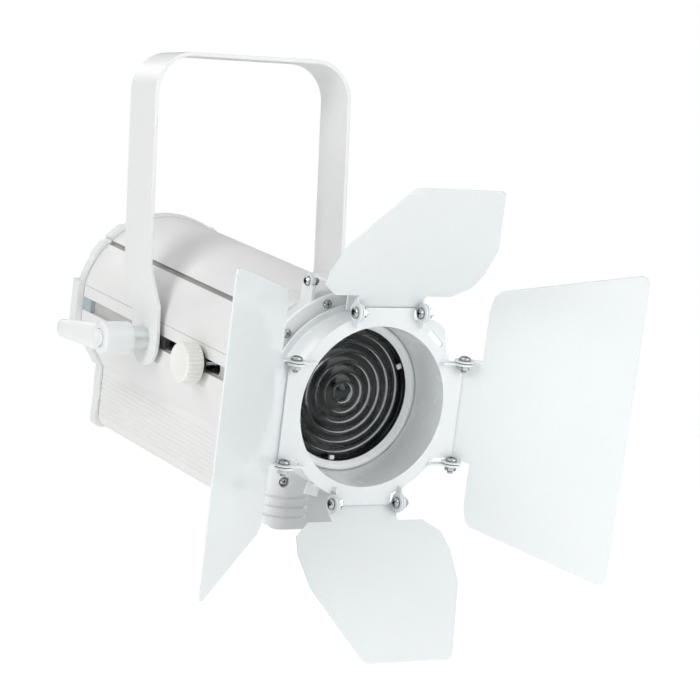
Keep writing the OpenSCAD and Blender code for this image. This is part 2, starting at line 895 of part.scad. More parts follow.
button_y = [-24, -8, 8, 24];
socket_y = 20;
data_z = -8;
power_z = -42;

module rear_panel() {
  color(housing_white) tilted() difference() {
    section_solid(panel_x, panel_x + 1.5, 3.2);
    box([panel_x - 1, -17, 32], [panel_x + 3, 17, 48]);
    for (y = button_y) {
      rod_x(panel_x - 1, panel_x + 3, 3.6 + gap, y, 20);
    }
    for (s = [-1, 1]) {
      rod_x(panel_x - 1, panel_x + 3, 11, s * socket_y, data_z);
      rod_x(panel_x - 1, panel_x + 3, 12, s * socket_y, power_z);
    }
    rod_x(panel_x - 1, panel_x + 3, 6, -22, -78);
    rod_x(panel_x - 1, panel_x + 3, 4, 18, -78);
    at_bosses(panel_x - 1) cylinder(r = 2, h = 4, $fn = 16);
  }
}

module display_window() {
  color(black) tilted() {
    box([panel_x - 0.8, -17, 32], [panel_x + 1.5, 17, 48]);
    box([panel_x + 1.5, -20, 29], [panel_x + 4, 20, 51]);
  }
}

// Push button with a rim that keeps it behind the panel
module menu_button(y) {
  color(black) tilted() {
    rod_x(panel_x - 2.5, panel_x + 2.6, 3.6, y, 20);
    rod_x(panel_x + 2.5, panel_x + 3.7, 4.6, y, 20);
  }
}

module menu_button_1() { menu_button(button_y[0]); }
module menu_button_2() { menu_button(button_y[1]); }
module menu_button_3() { menu_button(button_y[2]); }
module menu_button_4() { menu_button(button_y[3]); }

// Flange and barrel shared by the four sockets
module socket_body(y, z, r, flange_w, flange_h) {
  difference() {
    union() {
      box([panel_x - 2, y - flange_w / 2, z - flange_h / 2],
          [panel_x, y + flange_w / 2, z + flange_h / 2]);
      rod_x(panel_x - 2, panel_x + 18, r - 0.1, y, z);
    }
    rod_x(panel_x - 3, panel_x + 14, r - 2, y, z);
  }
}

module power_socket(y) {
  color([0.2, 0.25, 0.35]) tilted() {
    socket_body(y, power_z, 12, 26, 30);
    rod_x(panel_x - 1, panel_x + 15, 5, y, power_z);
    for (a = [30, 150, 270]) {
      translate([0, y, power_z]) rotate([a, 0, 0]) box([panel_x + 4, 7.5, -1], [panel_x + 15, 10.2, 1]);
    }
  }
}

module power_in() { power_socket(-socket_y); }
module power_out() { power_socket(socket_y); }

module data_socket(y, male) {
  color(steel) tilted() {
    socket_body(y, data_z, 11, 26, 30);
    for (a = [30, 150, 270]) {
      translate([0, y, data_z]) rotate([a, 0, 0]) rod_x(panel_x + (male ? 2 : 8), panel_x + 15, 1.4, 5);
    }
  }
}

module data_in() { data_socket(-socket_y, true); }
module data_out() { data_socket(socket_y, false); }

module fuse_holder() {
  color(black) tilted() difference() {
    union() {
      rod_x(panel_x - 3, panel_x, 8, -22, -78);
      rod_x(panel_x - 0.1, panel_x + 17, 5.9, -22, -78);
      rod_x(panel_x - 6, panel_x - 2.9, 5.5, -22, -78);
    }
    box([panel_x - 7, -27, -78.6], [panel_x - 5, -17, -77.4]);
  }
}

// Ring for the safety cable
module safety_eye() {
  color(steel) tilted() {
    rod_x(panel_x - 2, panel_x, 7.5, 18, -78);
    rod_x(panel_x - 5, panel_x + 8, 3.9, 18, -78);
    translate([panel_x - 13, 18, -78]) rotate([90, 0, 0]) rotate_extrude()
      translate([9, 0]) circle(r = 2.5, $fn = 20);
  }
}

// -------------------------------------------------------------- barn door

// Hinge places: turn about the beam axis, stack offsets along the hinge axis
small_hinges = [2 - hinge_half_small, 2 + hinge_half_small];
large_hinges = [-3 - hinge_half_large, -3 + hinge_half_large];

tab_z = hinge_off + 2.5;    // outer edge of the four hinge tabs

// Front sheet of the ring in (Y, Z), with one ear for the safety cable
module ring_outline() {
  circle(r = ring_r, $fn = 96);
  translate([-22.5, -tab_z]) square([46, 2 * tab_z]);
  translate([-tab_z, -36.5]) square([2 * tab_z, 68.5]);
  polygon([[24, 50], [24.5, 60.8], [41, 60.8], [46, 59], [50, 54.8], [54, 38.5], [40, 38]]);
}

// Ear of the ring across a hinge axis parallel to Y, rooted in the sheet
module ring_ear(y, root) {
  rod_y(y, y + sheet_t, ear_r - 0.8, hinge_x, hinge_off);
  box([ring_x1 - sheet_t, y, root], [hinge_x, y + sheet_t, tab_z]);
}

// Children drawn for a top hinge, turned to each of the four sides
module at_side(a) {
  rotate([a, 0, 0]) children();
}

module door_ring() {
  color(door_white) tilted() {
    difference() {
      union() {
        spin_x() polygon([[54.2, ring_x0], [65.3, ring_x0], [65.3, ring_x0 + 2],
          [61, ring_x0 + 2], [61, ring_x1], [opening_r, ring_x1]]);
        along_x(ring_x1 - sheet_t, ring_x1) difference() {
          ring_outline();
          circle(r = opening_r + 1, $fn = 96);
        }
        for (s = [-1, 1]) {
          for (c = small_hinges) {
            mirror([0, 0, s < 0 ? 1 : 0]) ring_ear(c + 0.8, 56);
          }
          for (c = large_hinges) {
            on_side(s) upright() ring_ear(c - 2.3, 50);
          }
        }
      }
      rotate([48, 0, 0]) {
        for (s = [-1, 1]) {
          rod_x(ring_x1 - 5, ring_x1 + 1, 2.1, 65, s * 5.8);
        }
        box([ring_x1 - 5, 62.9, -5.8], [ring_x1 + 1, 67.1, 5.8]);
      }
      for (s = [-1, 1]) {
        rod_y(-40, 42, 2.05, hinge_x, s * hinge_off);
        translate([hinge_x, s * hinge_off, -50]) cylinder(r = 2.05, h = 100, $fn = 24);
      }
    }
  }
}

// Screw, washer or nut at every hinge, drawn with its axis along +Z, seat at 0
module at_hinges(small_shift, large_shift) {
  for (s = [-1, 1]) {
    for (c = small_hinges) {
      translate([hinge_x, c + small_shift, s * hinge_off]) rotate([90, 0, 0]) children();
    }
    for (c = large_hinges) {
      translate([hinge_x, s * hinge_off, c + large_shift]) children();
    }
  }
}

module hinge_screws() {
  color(steel) tilted() at_hinges(-leaf_t - gap, leaf_t + gap) pan_screw(2, 9, 4, 2.8);
}

module hinge_washers() {
  color(steel) tilted() at_hinges(0.75, -0.75) difference() {
    cylinder(r = 5.5, h = 0.7, $fn = 30);
    translate([0, 0, -1]) cylinder(r = 2.05, h = 3, $fn = 24);
  }
}

module hinge_nuts() {
  color(steel) tilted() at_hinges(5.5, -5.5) hex_nut(7, 3.2, 2.05);
}

// Leaf drawn with the hinge axis along Y at the origin, pointing along +X,
// plane behind the axis; c holds the two ear positions
module leaf_sheet(points, ears, ear_dir) {
  lap = ear_dir > 0 ? 0 : -leaf_t;
  z1 = leaf_back + leaf_t;
  difference() {
    union() {
      translate([0, 0, leaf_back]) linear_extrude(height = leaf_t) {
        polygon(points);
        translate([-4, ears[0] + lap]) square([20, ears[1] - ears[0] + leaf_t]);
      }
      for (c = ears) {
        rod_y(c + lap, c + lap + leaf_t, ear_r);
        along_y(c + lap, c + lap + leaf_t)
          polygon([[-4, z1], [-5.2, 4.6], [0, 0], [5.4, 4.4], [9, z1]]);
      }
    }
    for (c = ears) {
      rod_y(c - 3, c + 3, 2.05);
    }
  }
}

module top_leaf() {
  color(door_white) tilted() translate([hinge_x, 0, hinge_off])
    rotate([0, -top_angle, 0]) leaf_sheet(small_leaf, small_hinges, -1);
}

module bottom_leaf() {
  color(door_white) tilted() translate([hinge_x, 0, -hinge_off])
    rotate([0, bottom_angle, 0]) mirror([0, 0, 1]) leaf_sheet(small_leaf, small_hinges, -1);
}

// Side leaf: the same sheet stood upright
module side_leaf(s) {
  on_side(s) translate([hinge_x, hinge_off, 0]) rotate([0, 0, side_angle]) upright()
    leaf_sheet(large_leaf, large_hinges, 1);
}

module left_leaf() {
  color(door_white) tilted() side_leaf(1);
}

module right_leaf() {
  color(door_white) tilted() side_leaf(-1);
}

// ------------------------------------------------------------------- draw

yoke();
pivot_spacers();
clamp_lever();
clamp_stud();
lever_button();
housing_shell();
front_cap();
rear_cap();
rear_panel();
channel_nuts();
channel_plugs();
far_pivot_screw();
front_cap_screws();
rear_cap_screws();
lens_tube();
lens();
lens_gasket();
lens_ring();
lens_clips();
tube_screws();
accessory_claws();
top_latch();
latch_screws();
front_bulkhead();
rear_bulkhead();
guide_rods();
zoom_carriage();
zoom_stud();
zoom_washer();
zoom_knob();
heat_sink();
led_board();
led_emitter();
reflector();
fan_frame();
fan_rotor();
driver_board();
driver_parts();
panel_cable();
display_window();
menu_button_1();
menu_button_2();
menu_button_3();
menu_button_4();
power_in();
power_out();
data_in();
data_out();
fuse_holder();
safety_eye();
door_ring();
hinge_screws();
hinge_washers();
hinge_nuts();
top_leaf();
bottom_leaf();
left_leaf();
right_leaf();
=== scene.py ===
import json
import math

import bmesh
import bpy
from mathutils import Matrix, Vector

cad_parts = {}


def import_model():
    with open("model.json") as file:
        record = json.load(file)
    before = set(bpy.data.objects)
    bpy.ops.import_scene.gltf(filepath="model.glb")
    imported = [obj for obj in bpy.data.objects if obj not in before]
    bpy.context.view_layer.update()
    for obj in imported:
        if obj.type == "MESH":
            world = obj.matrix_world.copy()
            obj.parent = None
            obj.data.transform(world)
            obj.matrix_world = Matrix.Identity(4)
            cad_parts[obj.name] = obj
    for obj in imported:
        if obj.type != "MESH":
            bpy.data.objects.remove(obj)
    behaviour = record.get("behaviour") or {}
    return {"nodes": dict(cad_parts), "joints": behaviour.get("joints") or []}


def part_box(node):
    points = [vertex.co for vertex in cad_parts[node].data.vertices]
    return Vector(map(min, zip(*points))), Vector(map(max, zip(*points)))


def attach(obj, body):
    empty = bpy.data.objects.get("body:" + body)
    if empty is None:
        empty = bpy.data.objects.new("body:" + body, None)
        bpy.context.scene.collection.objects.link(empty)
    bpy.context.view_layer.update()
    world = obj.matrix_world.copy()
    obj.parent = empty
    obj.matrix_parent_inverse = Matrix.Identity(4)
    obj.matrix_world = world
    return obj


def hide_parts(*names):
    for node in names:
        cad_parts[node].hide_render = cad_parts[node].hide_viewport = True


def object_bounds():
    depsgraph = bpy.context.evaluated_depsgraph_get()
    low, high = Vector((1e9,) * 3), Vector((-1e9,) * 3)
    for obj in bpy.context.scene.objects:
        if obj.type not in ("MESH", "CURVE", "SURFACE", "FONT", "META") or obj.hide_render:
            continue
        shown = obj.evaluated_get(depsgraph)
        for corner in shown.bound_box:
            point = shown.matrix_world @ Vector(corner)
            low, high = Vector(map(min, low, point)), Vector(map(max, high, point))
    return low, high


# Looks of a profile spotlight: materials, rounded edges, finer hinge hardware, lever, knob, lens
# and key marks, and the stage around it. Shapes are drawn in millimetres and scaled by MM; shader
# distances are in metres.

MM = 0.001
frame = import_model()
cad_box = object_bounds()
nodes = frame["nodes"]
joints = {j["name"]: j for j in frame["joints"]}

# The housing's own frame: X along the beam, Z up when the beam is level, origin at the tilt pivot.
PIVOT = Vector(joints["tilt"]["pos_m"])
BEAM = Vector(joints["door_turn"]["axis"]).normalized()
UPRIGHT = Vector(joints["left_leaf_fold"]["axis"]).normalized()
SIDE = Vector((0, 1, 0))
BODY = Matrix.Translation(PIVOT) @ Matrix((BEAM, SIDE, UPRIGHT)).transposed().to_4x4()
YOKE = Matrix.Translation(PIVOT)

# Places that paint needs, in metres along the beam or out from its axis.
REAR_SEAM = -0.119          # where the rear cap meets the extrusion
FRONT_SEAM = 0.12           # everything beyond it belongs to the front cap's face
SHELL_BORE = 0.0623         # radius of the extrusion's inside
CREASE_Z = 0.0141           # height of the line along the extrusion's sides
CREASE_Y = 0.062            # the line is only drawn this far out from the middle
GROOVE = math.radians(44)   # angle of the flank grooves above the horizontal
GROOVE_HALF = 0.00195       # half their width
GROOVE_FLOOR = 0.066        # distance of their floors from the axis
CHANNEL_HALF = 0.00505      # half the height of the channel along each side
CHANNEL_FLOOR = 0.0625      # its floor
CHANNEL_LIP = 0.0664        # its edge, out in the light
TUBE_BORE = 0.0487          # radius of the lens tube's inside
TUBE_BLACK_END = 0.1605     # the tube is black inside up to here
LENS_BACK = 0.16            # flat back of the lens


def turn(angle, axis):
    """Rotation matrix from degrees about a named axis."""
    return Matrix.Rotation(math.radians(angle), 4, axis)


def shift(x, y, z):
    """Translation matrix from millimetres."""
    return Matrix.Translation(Vector((x, y, z)) * MM)


# ---------------------------------------------------------------- shader helpers

class Look:
    """A material under construction: its node tree, its shader and its coordinates."""

    def __init__(self, name, color, roughness, metallic=0.0):
        self.material = bpy.data.materials.new(name)
        self.material.use_nodes = True
        self.tree = self.material.node_tree
        self.shader = self.tree.nodes["Principled BSDF"]
        self.coords = self.tree.nodes.new("ShaderNodeTexCoord").outputs["Object"]
        self.color = color
        self.set("Base Color", (*color, 1))
        self.set("Roughness", roughness)
        self.set("Metallic", metallic)

    def set(self, socket, value):
        """Gives a shader input a fixed value."""
        self.shader.inputs[socket].default_value = value

    def plug(self, output, socket):
        """Drives a shader input by a node's output."""
        self.tree.links.new(output, self.shader.inputs[socket])

    def node(self, kind, inputs=None, **settings):
        """New node with its settings and inputs; an input is a value or another node's output."""
        added = self.tree.nodes.new(kind)
        for name, value in settings.items():
            setattr(added, name, value)
        for key, value in (inputs or {}).items():
            if isinstance(value, bpy.types.NodeSocket):
                self.tree.links.new(value, added.inputs[key])
            else:
                added.inputs[key].default_value = value
        return added

    def noise(self, scale, detail=3.0, stretch=(1, 1, 1)):
        """Noise between 0 and 1; scale is in features per metre."""
        mapped = self.node("ShaderNodeMapping", {"Vector": self.coords, "Scale": stretch})
        inputs = {"Vector": mapped.outputs[0], "Scale": scale, "Detail": detail}
        return self.node("ShaderNodeTexNoise", inputs).outputs["Fac"]

    def spread(self, fac, low, high, start=0.3, stop=0.7):
        """Maps a factor between start and stop to the range from low to high."""
        inputs = {"Value": fac, "From Min": start, "From Max": stop, "To Min": low, "To Max": high}
        return self.node("ShaderNodeMapRange", inputs).outputs["Result"]

    def math(self, operation, a, b=0.0):
        """Result of one arithmetic step; a and b are numbers or outputs."""
        return self.node("ShaderNodeMath", {0: a, 1: b}, operation=operation).outputs[0]

    def tint(self, fac, color):
        """Mixes another colour over the base colour; calls stack up."""
        link = self.shader.inputs["Base Color"]
        under = link.links[0].from_socket if link.is_linked else (*self.color, 1)
        mix = self.node("ShaderNodeMix", {"Factor": fac, "A": under, "B": (*color, 1)},
                        data_type="RGBA")
        self.plug(mix.outputs["Result"], "Base Color")

    def bump(self, height, depth, strength=1.0):
        """Bump of a given depth in metres, added to any bump already there."""
        link = self.shader.inputs["Normal"]
        inputs = {"Height": height, "Distance": depth, "Strength": strength}
        if link.is_linked:
            inputs["Normal"] = link.links[0].from_socket
        self.plug(self.node("ShaderNodeBump", inputs).outputs["Normal"], "Normal")

    def along(self, direction, origin):
        """Distance in metres of the shaded point along a direction from an origin."""
        offset = self.node("ShaderNodeVectorMath", {0: self.coords, 1: tuple(origin)},
                           operation="SUBTRACT").outputs[0]
        dot = self.node("ShaderNodeVectorMath", {0: offset, 1: tuple(direction)},
                        operation="DOT_PRODUCT")
        return dot.outputs["Value"]

    def facing(self, direction, normal="Normal"):
        """How far the surface faces a direction that stays with the piece in every pose."""
        world = self.node("ShaderNodeNewGeometry").outputs[normal]
        turned = self.node("ShaderNodeVectorTransform", {"Vector": world}, vector_type="NORMAL",
                           convert_from="WORLD", convert_to="OBJECT")
        return self.node("ShaderNodeVectorMath", {0: turned.outputs[0], 1: tuple(direction)},
                         operation="DOT_PRODUCT").outputs["Value"]

    def radius(self, origin, across_a, across_b):
        """Distance in metres of the shaded point from an axis, given two directions across it."""
        a = self.along(across_a, origin)
        b = self.along(across_b, origin)
        return self.math("SQRT", self.math("ADD", self.math("MULTIPLY", a, a),
                                           self.math("MULTIPLY", b, b)))


def darker(color, share):
    """The colour with each channel scaled by a share."""
    return tuple(c * share for c in color)


def paint(name, color, roughness, grain, depth, coat=0.0):
    """Powder coat or enamel: fine orange peel, faint mottling and uneven gloss."""
    look = Look(name, color, roughness)
    look.tint(look.spread(look.noise(14), 0.0, 0.35), darker(color, 0.93))
    look.tint(look.spread(look.noise(420, 2), 0.0, 0.2), darker(color, 0.9))
    gloss = look.spread(look.noise(60), roughness * 0.85, roughness * 1.2)
    look.plug(gloss, "Roughness")
    look.bump(look.noise(grain, 2), depth)
    look.set("Coat Weight", coat)
    look.set("Coat Roughness", 0.08)
    return look


def plastic(name, color, roughness, depth=0.00006, soft=0.0):
    """Moulded plastic: fine spark-eroded texture and slight handling marks."""
    look = Look(name, color, roughness)
    look.tint(look.spread(look.noise(35), 0.0, 0.3), darker(color, 0.9))
    look.plug(look.spread(look.noise(90, 4), roughness * 0.8, roughness * 1.25), "Roughness")
    look.bump(look.noise(1500, 1), depth)
    look.set("Subsurface Weight", soft)
    look.set("Subsurface Radius", (0.002, 0.002, 0.002))
    return look


def metal(name, color, roughness, stretch=(1, 1, 1), depth=0.00003):
    """Bare or plated metal: fine brushed or tumbled scratches and uneven tone."""
    look = Look(name, color, roughness, metallic=1.0)
    look.tint(look.spread(look.noise(200, 4), 0.0, 0.5), darker(color, 0.75))
    scratches = look.noise(900, 3, stretch)
    look.plug(look.spread(scratches, roughness * 0.7, roughness * 1.4), "Roughness")
    look.bump(scratches, depth)
    return look


def rubber(name, color):
    """Dull rubber with a faint bloom."""
    look = Look(name, color, 0.75)
    look.tint(look.spread(look.noise(80, 5), 0.0, 0.4), (0.16, 0.16, 0.16))
    look.bump(look.noise(1100, 2), 0.0001)
    return look


# ---------------------------------------------------------------- materials

def yoke_paint():
    """White enamel with a ring worn by the collar."""
    look = paint("yoke_paint", (0.83, 0.84, 0.835), 0.36, 900, 0.00008, coat=0.15)
    rub_mark(look, 0.0092, 0.0112)
    return look


def rub_mark(look, r0, r1):
    """Faint polished ring round the tilt pivot, where the collar has turned against the paint."""
    r = look.radius(PIVOT, (1, 0, 0), (0, 0, 1))
    inner = look.math("GREATER_THAN", r, r0)
    outer = look.math("LESS_THAN", r, r1)
    streaks = look.spread(look.noise(300, 4), 0.0, 0.35)
    look.tint(look.math("MULTIPLY", look.math("MULTIPLY", inner, outer), streaks),
              (0.6, 0.6, 0.6))


def seam(look):
    """Grey joint line at the extrusion's rear end, where the cap meets it."""
    offset = look.math("SUBTRACT", look.along(BEAM, PIVOT), REAR_SEAM)
    near = look.math("LESS_THAN", look.math("ABSOLUTE", offset), 0.0006)
    look.tint(look.math("MULTIPLY", near, 0.8), (0.1, 0.105, 0.11))


def crease(look):
    """Shadow line along each side, where the arch meets the flat with the channel."""
    height = look.along(UPRIGHT, PIVOT)
    line = look.math("LESS_THAN", look.math("ABSOLUTE", look.math("SUBTRACT", height, CREASE_Z)),
                     0.0003)
    outside = look.math("GREATER_THAN", look.math("ABSOLUTE", look.along(SIDE, PIVOT)), CREASE_Y)
    look.tint(look.math("MULTIPLY", look.math("MULTIPLY", line, outside), 0.6), (0.3, 0.3, 0.3))


def groove(look):
    """Painted shade at the bottom of the long groove on each upper flank."""
    side = look.math("ABSOLUTE", look.along(SIDE, PIVOT))
    height = look.along(UPRIGHT, PIVOT)
    c, s = math.cos(GROOVE), math.sin(GROOVE)
    across = look.math("SUBTRACT", look.math("MULTIPLY", side, s), look.math("MULTIPLY", height, c))
    out = look.math("ADD", look.math("MULTIPLY", side, c), look.math("MULTIPLY", height, s))
    inside = look.math("LESS_THAN", look.math("ABSOLUTE", across), GROOVE_HALF)
    deep = look.spread(out, 0.75, 0.0, GROOVE_FLOOR, GROOVE_FLOOR + 0.0018)
    look.tint(look.math("MULTIPLY", inside, deep), (0.12, 0.12, 0.115))


def channel(look):
    """Shade inside the channel along each side."""
    side = look.math("ABSOLUTE", look.along(SIDE, PIVOT))
    height = look.math("ABSOLUTE", look.along(UPRIGHT, PIVOT))
    inside = look.math("LESS_THAN", height, CHANNEL_HALF)
    deep = look.spread(side, 0.55, 0.0, CHANNEL_FLOOR, CHANNEL_LIP)
    look.tint(look.math("MULTIPLY", inside, deep), (0.3, 0.3, 0.295))


def shade_under_ring(look):
    """Painted shade on the front cap's face below the lens, under the door ring."""
    facing = look.spread(look.facing(BEAM), 0.0, 0.45, 0.1, 0.9)
    low = look.spread(look.along(UPRIGHT, PIVOT), 1.0, 0.0, -0.08, -0.04)
    front = look.math("GREATER_THAN", look.along(BEAM, PIVOT), FRONT_SEAM)
    look.tint(look.math("MULTIPLY", look.math("MULTIPLY", facing, low), front), (0.3, 0.31, 0.31))


def housing_paint():
    """White outside, matt black inside the extrusion and on the walls of the zoom slot."""
    look = paint("housing_paint", (0.80, 0.80, 0.795), 0.5, 700, 0.00012)
    inside = look.math("LESS_THAN", look.radius(PIVOT, SIDE, UPRIGHT), SHELL_BORE)
    look.tint(inside, (0.012, 0.012, 0.013))
    seam(look)
    # painted shade along the side crease, in the flank grooves and inside the side channels
    crease(look)
    groove(look)
    channel(look)
    return look


def panel_paint():
    return paint("panel_paint", (0.78, 0.785, 0.785), 0.5, 700, 0.00012)


def cap_paint():
    look = paint("cap_paint", (0.79, 0.80, 0.80), 0.5, 500, 0.00015)
    look.bump(look.noise(90, 3), 0.00015)
    # painted shade on the cap's front face below the lens
    shade_under_ring(look)
    return look


def tube_paint():
    """The lens tube is painted white outside and matt black inside."""
    look = paint("tube_paint", (0.9, 0.915, 0.92), 0.42, 700, 0.0001)
    inside = look.math("LESS_THAN", look.radius(PIVOT, SIDE, UPRIGHT), TUBE_BORE)
    behind = look.math("LESS_THAN", look.along(BEAM, PIVOT), TUBE_BLACK_END)
    mask = look.math("MULTIPLY", inside, behind)
    look.tint(mask, (0.012, 0.012, 0.013))
    return look


def door_paint():
    return paint("door_paint", (0.80, 0.83, 0.84), 0.24, 1100, 0.00004, coat=0.25)


def leaf_paint():
    return paint("leaf_paint", (0.80, 0.835, 0.845), 0.17, 1100, 0.00003, coat=0.3)


def bright_steel():
    """Plated steel with painted shade in recesses and a painted dark reflection towards the rim of
    every rounded form.
    """
    look = metal("bright_steel", (0.55, 0.57, 0.575), 0.18)
    # painted dark reflection towards the rim of every rounded form
    rim = look.node("ShaderNodeLayerWeight", {"Blend": 0.5}).outputs["Facing"]
    look.tint(look.spread(rim, 0.0, 0.9, 0.25, 0.75), (0.07, 0.075, 0.08))
    # painted shade in recesses, from a short ambient occlusion
    open_sky = look.node("ShaderNodeAmbientOcclusion", {"Distance": 0.002}, samples=8)
    look.tint(look.spread(open_sky.outputs["AO"], 0.95, 0.0, 0.35, 0.85), (0.03, 0.032, 0.035))
    return look


def collar_steel():
    """Turned steel of the clamp stud, with rings left by the lathe."""
    look = metal("collar_steel", (0.74, 0.77, 0.77), 0.38)
    rings = look.math("SINE", look.math("MULTIPLY", look.along(SIDE, PIVOT), 9000.0))
    look.bump(rings, 0.00004)
    return look


def plate_alloy():
    return metal("plate_alloy", (0.62, 0.62, 0.64), 0.34, stretch=(0.1, 1, 1))


def baffle_black():
    look = metal("baffle_black", (0.02, 0.02, 0.022), 0.55)
    look.set("Metallic", 0.3)
    return look


def sink_alloy():
    look = metal("sink_alloy", (0.5, 0.5, 0.52), 0.42)
    look.bump(look.noise(260, 4), 0.0002)
    return look


def socket_metal():
    return metal("socket_metal", (0.5, 0.5, 0.5), 0.3)


def ring_black():
    look = metal("ring_black", (0.012, 0.012, 0.013), 0.36)
    look.set("Metallic", 0.2)
    rings = look.math("SINE", look.math("MULTIPLY",
                                        look.radius(PIVOT, SIDE, UPRIGHT), 12000.0))
    look.bump(rings, 0.00002)
    return look


def lens_glass():
    """Pressed glass: clear steps, white ground risers between them and fine stipple behind."""
    look = Look("lens_glass", (0.55, 0.58, 0.59), 0.02)
    look.set("IOR", 1.36)
    facing = look.facing(BEAM, "True Normal")
    riser = look.math("LESS_THAN", look.math("ABSOLUTE", facing), 0.5)
    behind = look.math("LESS_THAN", look.along(BEAM, PIVOT), LENS_BACK + 0.00005)
    look.tint(riser, (0.9, 0.93, 0.93))
    look.plug(look.spread(riser, 1.0, 0.1, 0, 1), "Transmission Weight")
    ground = look.spread(riser, 0.02, 0.3, 0, 1)
    stippled = look.math("MULTIPLY", behind, 0.06)
    look.plug(look.math("ADD", ground, stippled), "Roughness")
    look.bump(look.math("MULTIPLY", look.noise(700, 1), behind), 0.00003)
    return look


def lever_plastic():
    return plastic("lever_plastic", (0.83, 0.85, 0.85), 0.34, soft=0.1)


def knob_plastic():
    return plastic("knob_plastic", (0.84, 0.84, 0.81), 0.4, soft=0.1)


def plug_plastic():
    return plastic("plug_plastic", (0.40, 0.46, 0.49), 0.4)


def spacer_plastic():
    return plastic("spacer_plastic", (0.03, 0.03, 0.032), 0.5)


def fan_plastic():
    return plastic("fan_plastic", (0.015, 0.015, 0.016), 0.42)


def socket_plastic():
    return plastic("socket_plastic", (0.022, 0.026, 0.036), 0.4)


def component_black():
    """Component cases: each height band has its own tone."""
    look = plastic("component_black", (0.02, 0.02, 0.022), 0.35)
    height = look.along(UPRIGHT, PIVOT)
    look.tint(look.math("GREATER_THAN", height, -0.0705), (0.10, 0.22, 0.30))
    look.tint(look.spread(look.noise(120, 1), 0.0, 0.5), (0.30, 0.24, 0.08))
    return look


def board_green():
    """Solder mask with a pattern of copper tracks."""
    look = Look("board_green", (0.012, 0.11, 0.05), 0.3)
    tracks = look.node("ShaderNodeTexBrick", {"Vector": look.coords, "Scale": 90.0,
                                              "Mortar Size": 0.03}).outputs["Fac"]
    look.tint(tracks, (0.03, 0.24, 0.10))
    look.tint(look.math("GREATER_THAN", look.noise(330, 0), 0.69), (0.6, 0.58, 0.5))
    look.bump(tracks, 0.00005)
    return look


def board_white():
    look = Look("board_white", (0.78, 0.79, 0.78), 0.28)
    look.tint(look.spread(look.noise(50), 0.0, 0.3), (0.66, 0.67, 0.66))
    look.bump(look.noise(600, 2), 0.00004)
    return look


def phosphor():
    """Yellow phosphor over a grid of chips."""
    look = Look("phosphor", (0.75, 0.55, 0.08), 0.5)
    cells = look.node("ShaderNodeTexVoronoi", {"Vector": look.coords, "Scale": 420.0,
                                               "Randomness": 0.0})
    look.tint(look.spread(cells.outputs["Distance"], 0.0, 0.6, 0.2, 0.5), (0.55, 0.30, 0.02))
    look.bump(cells.outputs["Distance"], 0.0001)
    return look


def mirror_alloy():
    return metal("mirror_alloy", (0.86, 0.86, 0.87), 0.1, depth=0.00001)


def window_black():
    look = Look("window_black", (0.006, 0.007, 0.008), 0.08)
    look.plug(look.spread(look.noise(40, 5), 0.05, 0.16), "Roughness")
    look.bump(look.noise(900, 1), 0.00001)
    return look


# Every builder above, with the CAD nodes that wear its material.
MATERIALS = {
    yoke_paint: ["yoke"],
    housing_paint: ["housing_shell"],
    panel_paint: ["rear_panel"],
    cap_paint: ["front_cap", "rear_cap"],
    tube_paint: ["lens_tube"],
    door_paint: ["door_ring", "accessory_claws", "top_latch", "lens_clips"],
    leaf_paint: ["top_leaf", "bottom_leaf", "left_leaf", "right_leaf"],
    bright_steel: ["channel_nuts", "far_pivot_screw", "latch_screws", "guide_rods", "zoom_stud",
                   "safety_eye", "hinge_screws", "hinge_washers", "hinge_nuts",
                   "front_cap_screws", "rear_cap_screws", "tube_screws"],
    collar_steel: ["clamp_stud"],
    plate_alloy: ["rear_bulkhead", "zoom_carriage"],
    baffle_black: ["front_bulkhead"],
    sink_alloy: ["heat_sink"],
    socket_metal: ["data_in", "data_out"],
    ring_black: ["lens_ring"],
    lens_glass: ["lens"],
    lever_plastic: ["clamp_lever", "lever_button"],
    knob_plastic: ["zoom_knob"],
    plug_plastic: ["channel_plugs"],
    spacer_plastic: ["pivot_spacers", "zoom_washer", "fuse_holder"],
    fan_plastic: ["fan_frame", "fan_rotor"],
    socket_plastic: ["power_in", "power_out"],
    component_black: ["driver_parts"],
    board_green: ["driver_board"],
    board_white: ["led_board"],
    phosphor: ["led_emitter"],
    mirror_alloy: ["reflector"],
    window_black: ["display_window"],
}
made = {}                   # finished materials by name


def dress(obj, material):
    """Gives an object one material in place of any it came with."""
    obj.data.materials.clear()
    obj.data.materials.append(material)


def dress_cad_nodes():
    """Builds every material once and gives it to its CAD nodes."""
    for build, names in MATERIALS.items():
        made[build.__name__] = build().material
        for name in names:
            dress(nodes[name], made[build.__name__])
    made["key_rubber"] = rubber("key_rubber", (0.05, 0.05, 0.055)).material
    made["gasket_rubber"] = rubber("gasket_rubber", (0.02, 0.02, 0.02)).material
    for i in range(1, 5):
        dress(nodes[f"menu_button_{i}"], made["key_rubber"])
    for name in ("lens_gasket", "panel_cable"):
        dress(nodes[name], made["gasket_rubber"])


# ---------------------------------------------------------------- edges of the CAD nodes

